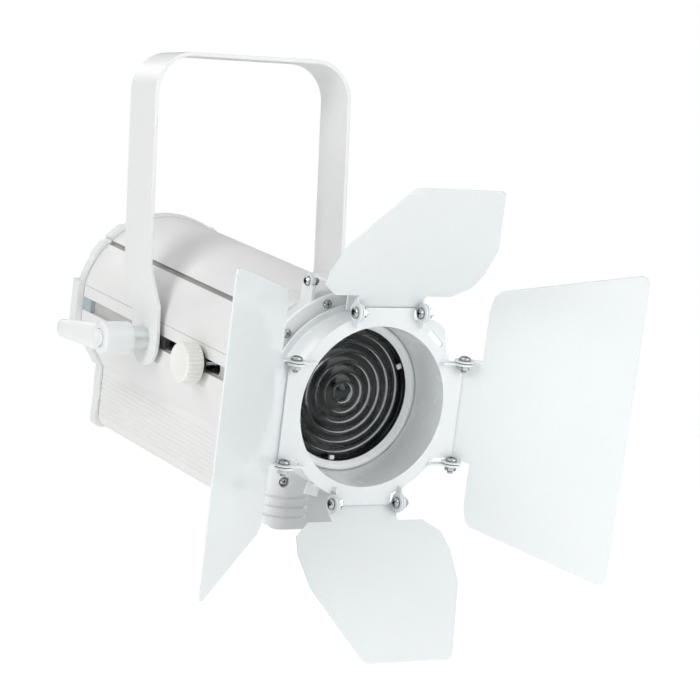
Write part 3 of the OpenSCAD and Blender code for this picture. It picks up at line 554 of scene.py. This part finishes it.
def smooth_group():
    """Geometry nodes that shade smooth except across edges sharper than 30 degrees."""
    group = bpy.data.node_groups.new("smooth_by_angle", "GeometryNodeTree")
    group.interface.new_socket("Geometry", in_out="INPUT", socket_type="NodeSocketGeometry")
    group.interface.new_socket("Geometry", in_out="OUTPUT", socket_type="NodeSocketGeometry")
    start = group.nodes.new("NodeGroupInput")
    stop = group.nodes.new("NodeGroupOutput")
    faces = group.nodes.new("GeometryNodeSetShadeSmooth")
    edges = group.nodes.new("GeometryNodeSetShadeSmooth")
    edges.domain = "EDGE"
    edges.inputs["Shade Smooth"].default_value = False
    angle = group.nodes.new("GeometryNodeInputMeshEdgeAngle")
    sharp = group.nodes.new("ShaderNodeMath")
    sharp.operation = "GREATER_THAN"
    sharp.inputs[1].default_value = math.radians(30)
    link = group.links.new
    link(start.outputs[0], faces.inputs["Geometry"])
    link(faces.outputs[0], edges.inputs["Geometry"])
    link(angle.outputs["Unsigned Angle"], sharp.inputs[0])
    link(sharp.outputs[0], edges.inputs["Selection"])
    link(edges.outputs[0], stop.inputs[0])
    return group


SMOOTH = smooth_group()


def soften(obj, width, segments=2):
    """Welds, rounds the sharp edges by a width in millimetres and keeps the flats flat."""
    weld = obj.modifiers.new("weld", "WELD")
    weld.merge_threshold = 1e-6
    if width > 0:
        bevel = obj.modifiers.new("bevel", "BEVEL")
        bevel.width = width * MM
        bevel.segments = segments
        bevel.limit_method = "ANGLE"
        bevel.angle_limit = math.radians(38)
        bevel.miter_outer = "MITER_ARC"
    smooth = obj.modifiers.new("smooth", "NODES")
    smooth.node_group = SMOOTH
    flats = obj.modifiers.new("flats", "WEIGHTED_NORMAL")
    flats.keep_sharp = True
    flats.weight = 80


# Rounding of the sharp edges of each CAD node in millimetres; a node left out has none.
EDGE_WIDTHS = {
    "yoke": 0.6, "door_ring": 0.35, "top_leaf": 0.3, "bottom_leaf": 0.3, "left_leaf": 0.3,
    "right_leaf": 0.3, "front_cap": 0.7, "rear_cap": 0.7, "housing_shell": 0.2,
    "rear_panel": 0.25, "top_latch": 0.3, "accessory_claws": 0.3, "lens_tube": 0.4,
    "lens_clips": 0.2, "lens_ring": 0.25, "clamp_stud": 0.4, "far_pivot_screw": 0.4,
    "lever_button": 0.2, "channel_plugs": 0.3, "pivot_spacers": 0.3, "fuse_holder": 0.4,
    "display_window": 0.4, "power_in": 0.6, "power_out": 0.6, "data_in": 0.6, "data_out": 0.6,
    "zoom_carriage": 0.3, "heat_sink": 0.2, "led_board": 0.2, "driver_board": 0.2,
    "driver_parts": 0.6, "fan_frame": 0.5, "front_bulkhead": 0.2, "rear_bulkhead": 0.2,
}


def soften_cad_nodes():
    """Rounds the edges of every CAD node by its own width."""
    for name, obj in nodes.items():
        soften(obj, EDGE_WIDTHS.get(name, 0))


# ---------------------------------------------------------------- mesh helpers

def piece(name, bm, body, material, stands_for=None):
    """Finished piece that rides on a body and may stand for a CAD node."""
    mesh = bpy.data.meshes.new(name)
    bm.normal_update()
    bm.to_mesh(mesh)
    bm.free()
    obj = bpy.data.objects.new(name, mesh)
    bpy.context.scene.collection.objects.link(obj)
    dress(obj, material)
    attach(obj, body)
    if stands_for:
        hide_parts(stands_for)
    return obj


def rings_to_faces(bm, rings, closed_row=False):
    """Joins rings of vertices with quads; each ring closes on itself."""
    rows = rings + [rings[0]] if closed_row else rings
    for a, b in zip(rows, rows[1:]):
        n = len(a)
        for i in range(n):
            bm.faces.new((a[i], a[(i + 1) % n], b[(i + 1) % n], b[i]))


def circle_ring(bm, matrix, radius, height, segments):
    """Ring of vertices about local Z; radius may be a function of the angle."""
    ring = []
    for i in range(segments):
        a = math.tau * i / segments
        r = radius(a) if callable(radius) else radius
        z = height(a) if callable(height) else height
        ring.append(bm.verts.new(matrix @ (Vector((r * math.cos(a), r * math.sin(a), z)) * MM)))
    return ring


def lathe(bm, matrix, profile, segments=48, hollow=False):
    """Turns a profile of (radius, height) in millimetres about local Z."""
    rings = [circle_ring(bm, matrix, r, z, segments) for r, z in profile]
    rings_to_faces(bm, rings, closed_row=hollow)
    if not hollow:
        bm.faces.new(list(reversed(rings[0])))
        bm.faces.new(rings[-1])
    return rings


def bake(obj):
    """Applies every modifier of an object."""
    bpy.context.view_layer.update()
    graph = bpy.context.evaluated_depsgraph_get()
    baked = bpy.data.meshes.new_from_object(obj.evaluated_get(graph))
    obj.modifiers.clear()
    obj.data = baked


def cut(obj, cutter):
    """Takes a cutter out of an object for good and removes the cutter."""
    modifier = obj.modifiers.new("cut", "BOOLEAN")
    modifier.operation = "DIFFERENCE"
    modifier.solver = "EXACT"
    modifier.object = cutter
    bake(obj)
    bpy.data.objects.remove(cutter)


def loose(bm, name):
    """Plain object from a bmesh, used only as a step on the way to a piece."""
    mesh = bpy.data.meshes.new(name)
    bmesh.ops.recalc_face_normals(bm, faces=bm.faces)
    bm.to_mesh(mesh)
    bm.free()
    obj = bpy.data.objects.new(name, mesh)
    bpy.context.scene.collection.objects.link(obj)
    return obj


def take_bmesh(obj):
    """Turns a step object back into a bmesh and removes it."""
    bm = bmesh.new()
    bm.from_mesh(obj.data)
    bpy.data.objects.remove(obj)
    return bm


def copy_into(bm, source, matrix):
    """Adds a transformed copy of a bmesh to another."""
    mesh = bpy.data.meshes.new("copy")
    source.to_mesh(mesh)
    mesh.transform(matrix)
    bm.from_mesh(mesh)
    bpy.data.meshes.remove(mesh)


# ---------------------------------------------------------------- screws, washers and nuts

def slot_cutter(head_r, head_h, angle):
    """Tapered bar that sinks one slot of a driver cross into a screw head."""
    half = head_r * 0.72
    thin = head_r * 0.16
    bm = bmesh.new()
    rings = []
    for z, share in ((head_h + 1, 1.0), (head_h * 0.25, 0.7)):
        corners = ((-half, -thin), (half, -thin), (half, thin), (-half, thin))
        points = [turn(angle, "Z") @ Vector((x * share, y * share, z)) * MM for x, y in corners]
        rings.append([bm.verts.new(point) for point in points])
    rings_to_faces(bm, rings)
    bm.faces.new(rings[0])
    bm.faces.new(list(reversed(rings[1])))
    return loose(bm, "slot")


def thread(bm, r, length, pitch, depth=0.28, steps=24):
    """Helical ridge round a shank that goes down from the seat."""
    count = int(length / pitch * steps)
    rows = []
    for i in range(count):
        a = math.tau * i / steps
        z = -0.3 - i * pitch / steps
        fade = min(1.0, i / steps, (count - 1 - i) / steps)
        row = []
        for dr, dz in ((0.0, pitch * 0.42), (depth * fade, 0.0), (0.0, -pitch * 0.42)):
            out = r + dr
            point = Vector((out * math.cos(a), out * math.sin(a), z + dz))
            row.append(bm.verts.new(point * MM))
        rows.append(row)
    for a, b in zip(rows, rows[1:]):
        for k in range(2):
            bm.faces.new((a[k], b[k], b[k + 1], a[k + 1]))


def pan_screw(shank_r, shank_l, head_r, head_h):
    """Pan-head screw with a cross recess and a thread, seat at the origin."""
    dome = [(head_r * math.cos(t), head_h * (0.42 + 0.58 * math.sin(t)))
            for t in [math.radians(d) for d in range(0, 86, 12)]]
    profile = [(shank_r * 0.6, -shank_l), (shank_r * 0.9, -shank_l + 0.4), (shank_r * 0.9, 0),
               (head_r * 0.97, 0), (head_r, head_h * 0.1)] + dome + [(head_r * 0.04, head_h)]
    bm = bmesh.new()
    lathe(bm, Matrix.Identity(4), profile, 36)
    head = loose(bm, "screw")
    for angle in (0, 90):
        cut(head, slot_cutter(head_r, head_h, angle))
    bm = take_bmesh(head)
    thread(bm, shank_r * 0.9, shank_l - 0.9, 0.7, depth=shank_r * 0.1)
    return bm


def wavy_washer(outer, inner, thickness, wave):
    """Spring washer bent into three waves, between heights 0 and thickness + wave."""
    bm = bmesh.new()

    def at(base):
        return lambda a: base + wave * (0.5 + 0.5 * math.sin(3 * a))

    rings = [circle_ring(bm, Matrix.Identity(4), r, at(z), 48)
             for r, z in ((inner, 0), (outer, 0), (outer, thickness), (inner, thickness))]
    rings_to_faces(bm, rings, closed_row=True)
    return bm


def hexagon_radius(across):
    """Distance from the centre to a hexagon's edge as a function of the angle."""
    def radius(a):
        return across / 2 / math.cos((a % math.radians(60)) - math.radians(30))
    return radius


def hex_nut(across, height, bore):
    """Nut with chamfered corners and a countersunk bore."""
    edge = hexagon_radius(across)
    flat = across / 2 * 0.96

    def low(a):
        return (edge(a) - flat) * 0.5

    def high(a):
        return height - low(a)

    bm = bmesh.new()
    profile = [(bore, 0.5), (bore * 1.15, 0), (flat, 0), (edge, low), (edge, high),
               (flat, height), (bore * 1.15, height), (bore, height - 0.5)]
    rings = [circle_ring(bm, Matrix.Identity(4), r, z, 72) for r, z in profile]
    rings_to_faces(bm, rings, closed_row=True)
    return bm


HINGE_X = 209.8             # all hinge screws, along the beam
HINGE_OFF = 67              # their lugs, out from the axis
SMALL_HINGES = (-24, 28)    # screws of the top and bottom leaf, along Y
LARGE_HINGES = (-39, 33)    # screws of the left and right leaf, along Z
LEAF_T = 1.2
RUN_GAP = 0.05              # air between a leaf and its screw's head
WASHER_SHIFT = 0.75         # from a leaf's inner face to the far side of its spring washer
NUT_SHIFT = 5.5             # and to the far side of its nut


def hinge_places(small_shift, large_shift):
    """Matrix at every hinge, local Z along the screw and towards its head."""
    places = []
    for s in (-1, 1):
        for c in SMALL_HINGES:
            places.append(BODY @ shift(HINGE_X, c + small_shift, s * HINGE_OFF) @ turn(90, "X"))
        for c in LARGE_HINGES:
            places.append(BODY @ shift(HINGE_X, s * HINGE_OFF, c + large_shift))
    return places


def at_places(source, places, spin=0.0):
    """One bmesh with a copy of the source at every place, each turned a bit further."""
    bm = bmesh.new()
    for i, place in enumerate(places):
        copy_into(bm, source, place @ turn(spin * i, "Z"))
    source.free()
    return bm


def hinge_piece(name, bm):
    """Steel piece on the turning door that stands for the CAD node of that name."""
    steel = made["bright_steel"]
    soften(piece(f"{name}_look", bm, "door", steel, name), 0)


def build_hinge_hardware():
    """Screws, spring washers and nuts of the eight hinges, each turned a bit differently."""
    seats = hinge_places(-LEAF_T - RUN_GAP, LEAF_T + RUN_GAP)
    screw = pan_screw(shank_r=2, shank_l=9, head_r=4, head_h=2.8)
    hinge_piece("hinge_screws", at_places(screw, seats, 37))
    washer = wavy_washer(outer=5.4, inner=2.1, thickness=0.32, wave=0.36)
    hinge_piece("hinge_washers", at_places(washer, hinge_places(WASHER_SHIFT, -WASHER_SHIFT), 25))
    nut = hex_nut(across=7, height=3.2, bore=2.05)
    hinge_piece("hinge_nuts", at_places(nut, hinge_places(NUT_SHIFT, -NUT_SHIFT), 11))


# ---------------------------------------------------------------- clamp lever

HUB_OUT = -109.5            # outer end of the lever's hub along Y
HUB_IN = -85.5              # inner end
HUB_R = 12.0
HANDLE_ROOT = -8            # along X, where the handle starts to narrow
HANDLE_RUN = 50             # length over which it narrows
LEVER_TIP = -61.5
BUTTON_R = 7.0              # recess in the hub's outer end, for the button
BUTTON_DEPTH = 6.1
STUD_R = 5.45               # bore for the clamp stud


def lever_section(x):
    """Centre (y, z) and half sizes (across Y, across Z) of the handle at a station."""
    t = min(1.0, max(0.0, (HANDLE_ROOT - x) / HANDLE_RUN))
    ease = t * t * (3 - 2 * t)
    y = HUB_OUT + 7.2 + (-2.4 - 7.2) * ease
    z = 3.0 * ease
    return y, z, 6.2 - 2.6 * ease, 10.4 - 3.6 * ease


def handle_ring(bm, x, shrink=1.0):
    """Ring of a rounded section across the handle."""
    y, z, half_y, half_z = lever_section(x)
    ring = []
    for i in range(40):
        a = math.tau * i / 40
        c, s = math.cos(a), math.sin(a)
        fy = math.copysign(abs(c) ** 0.75, c) * half_y * shrink
        fz = math.copysign(abs(s) ** 0.75, s) * half_z * shrink
        ring.append(bm.verts.new(YOKE @ (Vector((x, y + fy, z + fz)) * MM)))
    return ring


def hub_solid(bm):
    """Rounded hub of the handle about the pivot axis."""
    r = HUB_R
    profile = [(r - 2, 0), (r - 0.9, 0.25), (r - 0.25, 0.9), (r, 2), (r, 21.5), (r - 0.3, 22.8),
               (r - 1.0, 23.6), (r - 2.2, 24)]
    lathe(bm, YOKE @ shift(0, HUB_IN, 0) @ turn(90, "X"), profile, 72)


def bore_cutter(radius, y0, y1):
    """Cylinder about the pivot axis from one place along Y to another."""
    bm = bmesh.new()
    lathe(bm, YOKE @ shift(0, y0, 0) @ turn(90, "X"), [(radius, 0), (radius, y0 - y1)], 64)
    return loose(bm, "bore")


def build_lever():
    """Moulded handle: hub and grip flow into each other."""
    bm = bmesh.new()
    stations = [(4, 0.7), (-6, 1.0)] + [(x, 1.0) for x in range(-12, -56, -4)]
    tips = [(-57, 0.97), (-59.5, 0.84), (-61, 0.6), (LEVER_TIP, 0.3)]
    rings = [handle_ring(bm, x, k) for x, k in stations + tips]
    rings_to_faces(bm, rings)
    bm.faces.new(rings[0])
    bm.faces.new(list(reversed(rings[-1])))
    hub_solid(bm)
    lever = loose(bm, "lever")
    remesh = lever.modifiers.new("remesh", "REMESH")
    remesh.mode = "VOXEL"
    remesh.voxel_size = 0.6 * MM
    relax = lever.modifiers.new("relax", "SMOOTH")
    relax.factor = 0.5
    relax.iterations = 9
    bake(lever)
    cut(lever, bore_cutter(BUTTON_R, HUB_OUT + BUTTON_DEPTH, HUB_OUT - 3))
    cut(lever, bore_cutter(STUD_R, HUB_IN + 3, HUB_OUT + 2))
    look = piece("clamp_lever_look", take_bmesh(lever), "lever_handle", made["lever_plastic"],
                 "clamp_lever")
    soften(look, 0)


# ---------------------------------------------------------------- zoom knob

def knob_seat():
    """Centre of the knob's inner face in the housing's frame."""
    low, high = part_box("zoom_knob")
    middle = (low + high) / 2
    middle.y = high.y
    return BODY.inverted() @ middle


KNOB_SEAT = knob_seat()
FLUTES = 30
KNOB_R = 15.0


def fluted(base, depth):
    """Radius as a function of the angle, with flutes of a given depth."""
    return lambda a: base - depth * (0.5 - 0.5 * math.cos(FLUTES * a)) ** 1.6


def build_knob():
    """Fluted knob with a dished face, standing out along -Y."""
    r = KNOB_R
    profile = [(4.05, 0.2), (11, 0.0), (12.9, 0.05), (13.9, 0.7), (fluted(r - 0.25, 0.2), 1.5),
               (fluted(r, 1.0), 2.2), (fluted(r, 1.0), 11.4), (fluted(r - 0.25, 0.8), 12.4),
               (fluted(r - 0.9, 0.3), 13.3), (13.2, 13.8), (12.3, 14.0), (11.5, 13.8),
               (10.6, 13.1), (9.4, 12.4), (7.0, 11.8), (4.0, 11.5), (1.2, 11.4), (0.3, 11.4)]
    bm = bmesh.new()
    place = BODY @ Matrix.Translation(KNOB_SEAT) @ turn(90, "X")
    rings = [circle_ring(bm, place, rad, z, FLUTES * 12) for rad, z in profile]
    rings_to_faces(bm, rings)
    bm.faces.new(list(reversed(rings[0])))
    bm.faces.new(rings[-1])
    look = piece("zoom_knob_look", bm, "zoom_grip", made["knob_plastic"],
                 "zoom_knob")
    soften(look, 0)


# ---------------------------------------------------------------- lens

LENS_R = 49.5
LENS_H = 5.2                # height of the middle and of the inner edge of each step
ZONES = 7
RISER = 0.25                # run of the slanted riser between two steps
ARC = 5                     # segments across each curved face


def lens_profile():
    """Outline of the lens as (radius, height) from the middle of its front to its back edge."""
    pitch = LENS_R / ZONES
    profile = [(0.05, LENS_H)]
    profile += [(pitch * k / ARC, LENS_H - 2.2 * (k / ARC) ** 2) for k in range(1, ARC + 1)]
    for i in range(1, ZONES):
        inner = i * pitch + RISER
        profile.append((inner, LENS_H))
        profile += [(inner + (pitch - RISER) * k / ARC, LENS_H + 0.3 - 2.5 * (k / ARC) ** 1.7)
                    for k in range(1, ARC + 1)]
    return profile + [(LENS_R, LENS_H / 2), (LENS_R, 0.0)]


def build_lens():
    """Stepped lens with a curved face on every step."""
    place = BODY @ Matrix.Translation((LENS_BACK, 0, 0)) @ turn(90, "Y")
    bm = bmesh.new()
    rings = [circle_ring(bm, place, r, z, 128) for r, z in lens_profile()]
    rings_to_faces(bm, rings)
    bm.faces.new(list(reversed(rings[0])))
    bm.faces.new(rings[-1])
    bmesh.ops.recalc_face_normals(bm, faces=bm.faces)
    soften(piece("lens_look", bm, "housing", made["lens_glass"], "lens"), 0)


# ---------------------------------------------------------------- rear panel keys

KEY_FACE = -131.45          # outer face of the keys, along the beam
KEYS_UP = 20                # height of their row above the axis
MARK_H = 0.25               # how far a mark stands out
MARK_TAPER = 0.85           # its top as a share of its foot


def key_mark(bm, matrix, points):
    """Raised flat mark of a few corner points, in millimetres, facing local +Z."""
    low = [bm.verts.new(matrix @ (Vector((x, y, 0.0)) * MM)) for x, y in points]
    high = [bm.verts.new(matrix @ (Vector((x * MARK_TAPER, y * MARK_TAPER, MARK_H)) * MM))
            for x, y in points]
    rings_to_faces(bm, [low, high])
    bm.faces.new(high)


def build_key_marks():
    """Plain symbols on the four keys: bar, up, down and dot."""
    dot = [(1.1 * math.cos(math.tau * k / 16), 1.1 * math.sin(math.tau * k / 16))
           for k in range(16)]
    shapes = {1: [(-1.5, -0.45), (1.5, -0.45), (1.5, 0.45), (-1.5, 0.45)],
              2: [(-1.4, -0.9), (1.4, -0.9), (0, 1.3)],
              3: [(1.4, 0.9), (-1.4, 0.9), (0, -1.3)],
              4: dot}
    white = made["board_white"]
    for i, points in shapes.items():
        low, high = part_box(f"menu_button_{i}")
        face = BODY.inverted() @ ((low + high) / 2)
        place = BODY @ Matrix.Translation((KEY_FACE * MM, face.y, KEYS_UP * MM))
        bm = bmesh.new()
        key_mark(bm, place @ turn(-90, "Y") @ turn(-90, "Z"), points)
        piece(f"key_mark_{i}", bm, f"key_{i}", white)


# ---------------------------------------------------------------- stage

# The photo's camera: where it stands from the pivot in metres, and how it looks back.
CAMERA_PLACE = Vector((1.9471, -1.0671, 0.1355))
AZIMUTH = -31.06            # degrees
ELEVATION = 5.52
ROLL = 2.5
FOCAL_LENGTH = 154.4        # millimetres on a 36 mm sensor
SHIFT_UP = 0.1429           # share of the picture's width

SOFT_LIGHT = 0.45           # brightness of the surroundings as diffuse light
# What shiny pieces see of them: (share of the way from straight down to straight up, brightness).
HORIZON = [(0.0, 0.55), (0.44, 0.5), (0.5, 0.1), (0.6, 0.08), (0.66, 0.75), (1.0, 1.0)]

FLOOR_R = 9.0               # metres
FLOOR_DROP = 0.25           # below the lowest point of the part


def camera():
    """Camera where the photo was taken: in front, and to the clamp lever's side."""
    azimuth = math.radians(AZIMUTH)
    elevation = math.radians(ELEVATION)
    roll = math.radians(ROLL)
    back = Vector((math.cos(elevation) * math.cos(azimuth),
                   math.cos(elevation) * math.sin(azimuth), math.sin(elevation)))
    level = Vector((0, 0, 1)).cross(back).normalized()
    upright = back.cross(level)
    right = level * math.cos(roll) + upright * math.sin(roll)
    up = upright * math.cos(roll) - level * math.sin(roll)
    data = bpy.data.cameras.new("camera")
    data.lens = FOCAL_LENGTH
    data.sensor_width = 36
    data.shift_y = SHIFT_UP
    data.clip_end = 100
    obj = bpy.data.objects.new("camera", data)
    turned = Matrix((right, up, back)).transposed().to_4x4()
    obj.matrix_world = Matrix.Translation(PIVOT + CAMERA_PLACE) @ turned
    bpy.context.scene.collection.objects.link(obj)
    bpy.context.scene.camera = obj


def softbox(name, offset, size, energy):
    """Square area light aimed at the pivot."""
    data = bpy.data.lights.new(name, "AREA")
    data.size = size
    data.energy = energy
    obj = bpy.data.objects.new(name, data)
    obj.location = PIVOT + Vector(offset)
    obj.rotation_euler = (-Vector(offset)).to_track_quat("-Z", "Y").to_euler()
    bpy.context.scene.collection.objects.link(obj)


def horizon_ramp(tree):
    """Grey that follows the height of the looking direction, as HORIZON lists it."""
    direction = tree.nodes.new("ShaderNodeTexCoord")
    split = tree.nodes.new("ShaderNodeSeparateXYZ")
    height = tree.nodes.new("ShaderNodeMapRange")
    height.inputs["From Min"].default_value = -1
    ramp = tree.nodes.new("ShaderNodeValToRGB")
    for place, value in HORIZON[1:-1]:
        ramp.color_ramp.elements.new(place).color = (value, value, value, 1)
    for end, (place, value) in ((0, HORIZON[0]), (-1, HORIZON[-1])):
        ramp.color_ramp.elements[end].color = (value, value, value, 1)
    tree.links.new(direction.outputs["Generated"], split.inputs[0])
    tree.links.new(split.outputs["Z"], height.inputs["Value"])
    tree.links.new(height.outputs["Result"], ramp.inputs["Fac"])
    return ramp.outputs["Color"]


def world():
    """White surroundings that show a dark band to shiny pieces, as black flags in a studio do."""
    made_world = bpy.data.worlds.new("studio")
    made_world.use_nodes = True
    tree = made_world.node_tree
    link = tree.links.new
    path = tree.nodes.new("ShaderNodeLightPath")
    soft = tree.nodes.new("ShaderNodeMix")
    soft.data_type = "RGBA"
    soft.inputs["A"].default_value = (SOFT_LIGHT, SOFT_LIGHT, SOFT_LIGHT, 1)
    link(path.outputs["Is Glossy Ray"], soft.inputs["Factor"])
    link(horizon_ramp(tree), soft.inputs["B"])
    seen = tree.nodes.new("ShaderNodeMix")
    seen.data_type = "RGBA"
    seen.inputs["B"].default_value = (1, 1, 1, 1)
    link(path.outputs["Is Camera Ray"], seen.inputs["Factor"])
    link(soft.outputs["Result"], seen.inputs["A"])
    link(seen.outputs["Result"], tree.nodes["Background"].inputs["Color"])
    bpy.context.scene.world = made_world


def floor():
    """Pale round floor below the hanging lantern that fades into the surroundings."""
    bm = bmesh.new()
    bmesh.ops.create_circle(bm, cap_ends=True, radius=FLOOR_R, segments=64)
    mesh = bpy.data.meshes.new("floor")
    bm.to_mesh(mesh)
    bm.free()
    obj = bpy.data.objects.new("floor", mesh)
    obj.location = (0, 0, cad_box[0][2] - FLOOR_DROP)
    look = Look("floor", (0.95, 0.95, 0.95), 0.8)
    look.tint(look.spread(look.noise(3), 0.0, 0.2), (0.93, 0.93, 0.93))
    look.set("Emission Color", (1, 1, 1, 1))
    seen = look.node("ShaderNodeLightPath").outputs["Is Camera Ray"]
    look.plug(look.spread(seen, 0.2, 0.55, 0, 1), "Emission Strength")
    r = look.radius((0, 0, 0), (1, 0, 0), (0, 1, 0))
    look.plug(look.spread(r, 1.0, 0.0, 1.0, 6.0), "Alpha")
    dress(obj, look.material)
    bpy.context.scene.collection.objects.link(obj)


def build_stage():
    """Camera, surroundings, three softboxes and the floor."""
    camera()
    world()
    softbox("key", (0.9, -2.2, 1.0), 1.1, 27)
    softbox("fill", (2.0, 0.8, 0.6), 1.5, 18)
    softbox("rim", (-1.6, -0.6, 1.4), 1.2, 8)
    floor()
    bpy.context.scene.view_settings.view_transform = "Standard"


dress_cad_nodes()
soften_cad_nodes()
build_hinge_hardware()
build_lever()
build_knob()
build_lens()
build_key_marks()
build_stage()
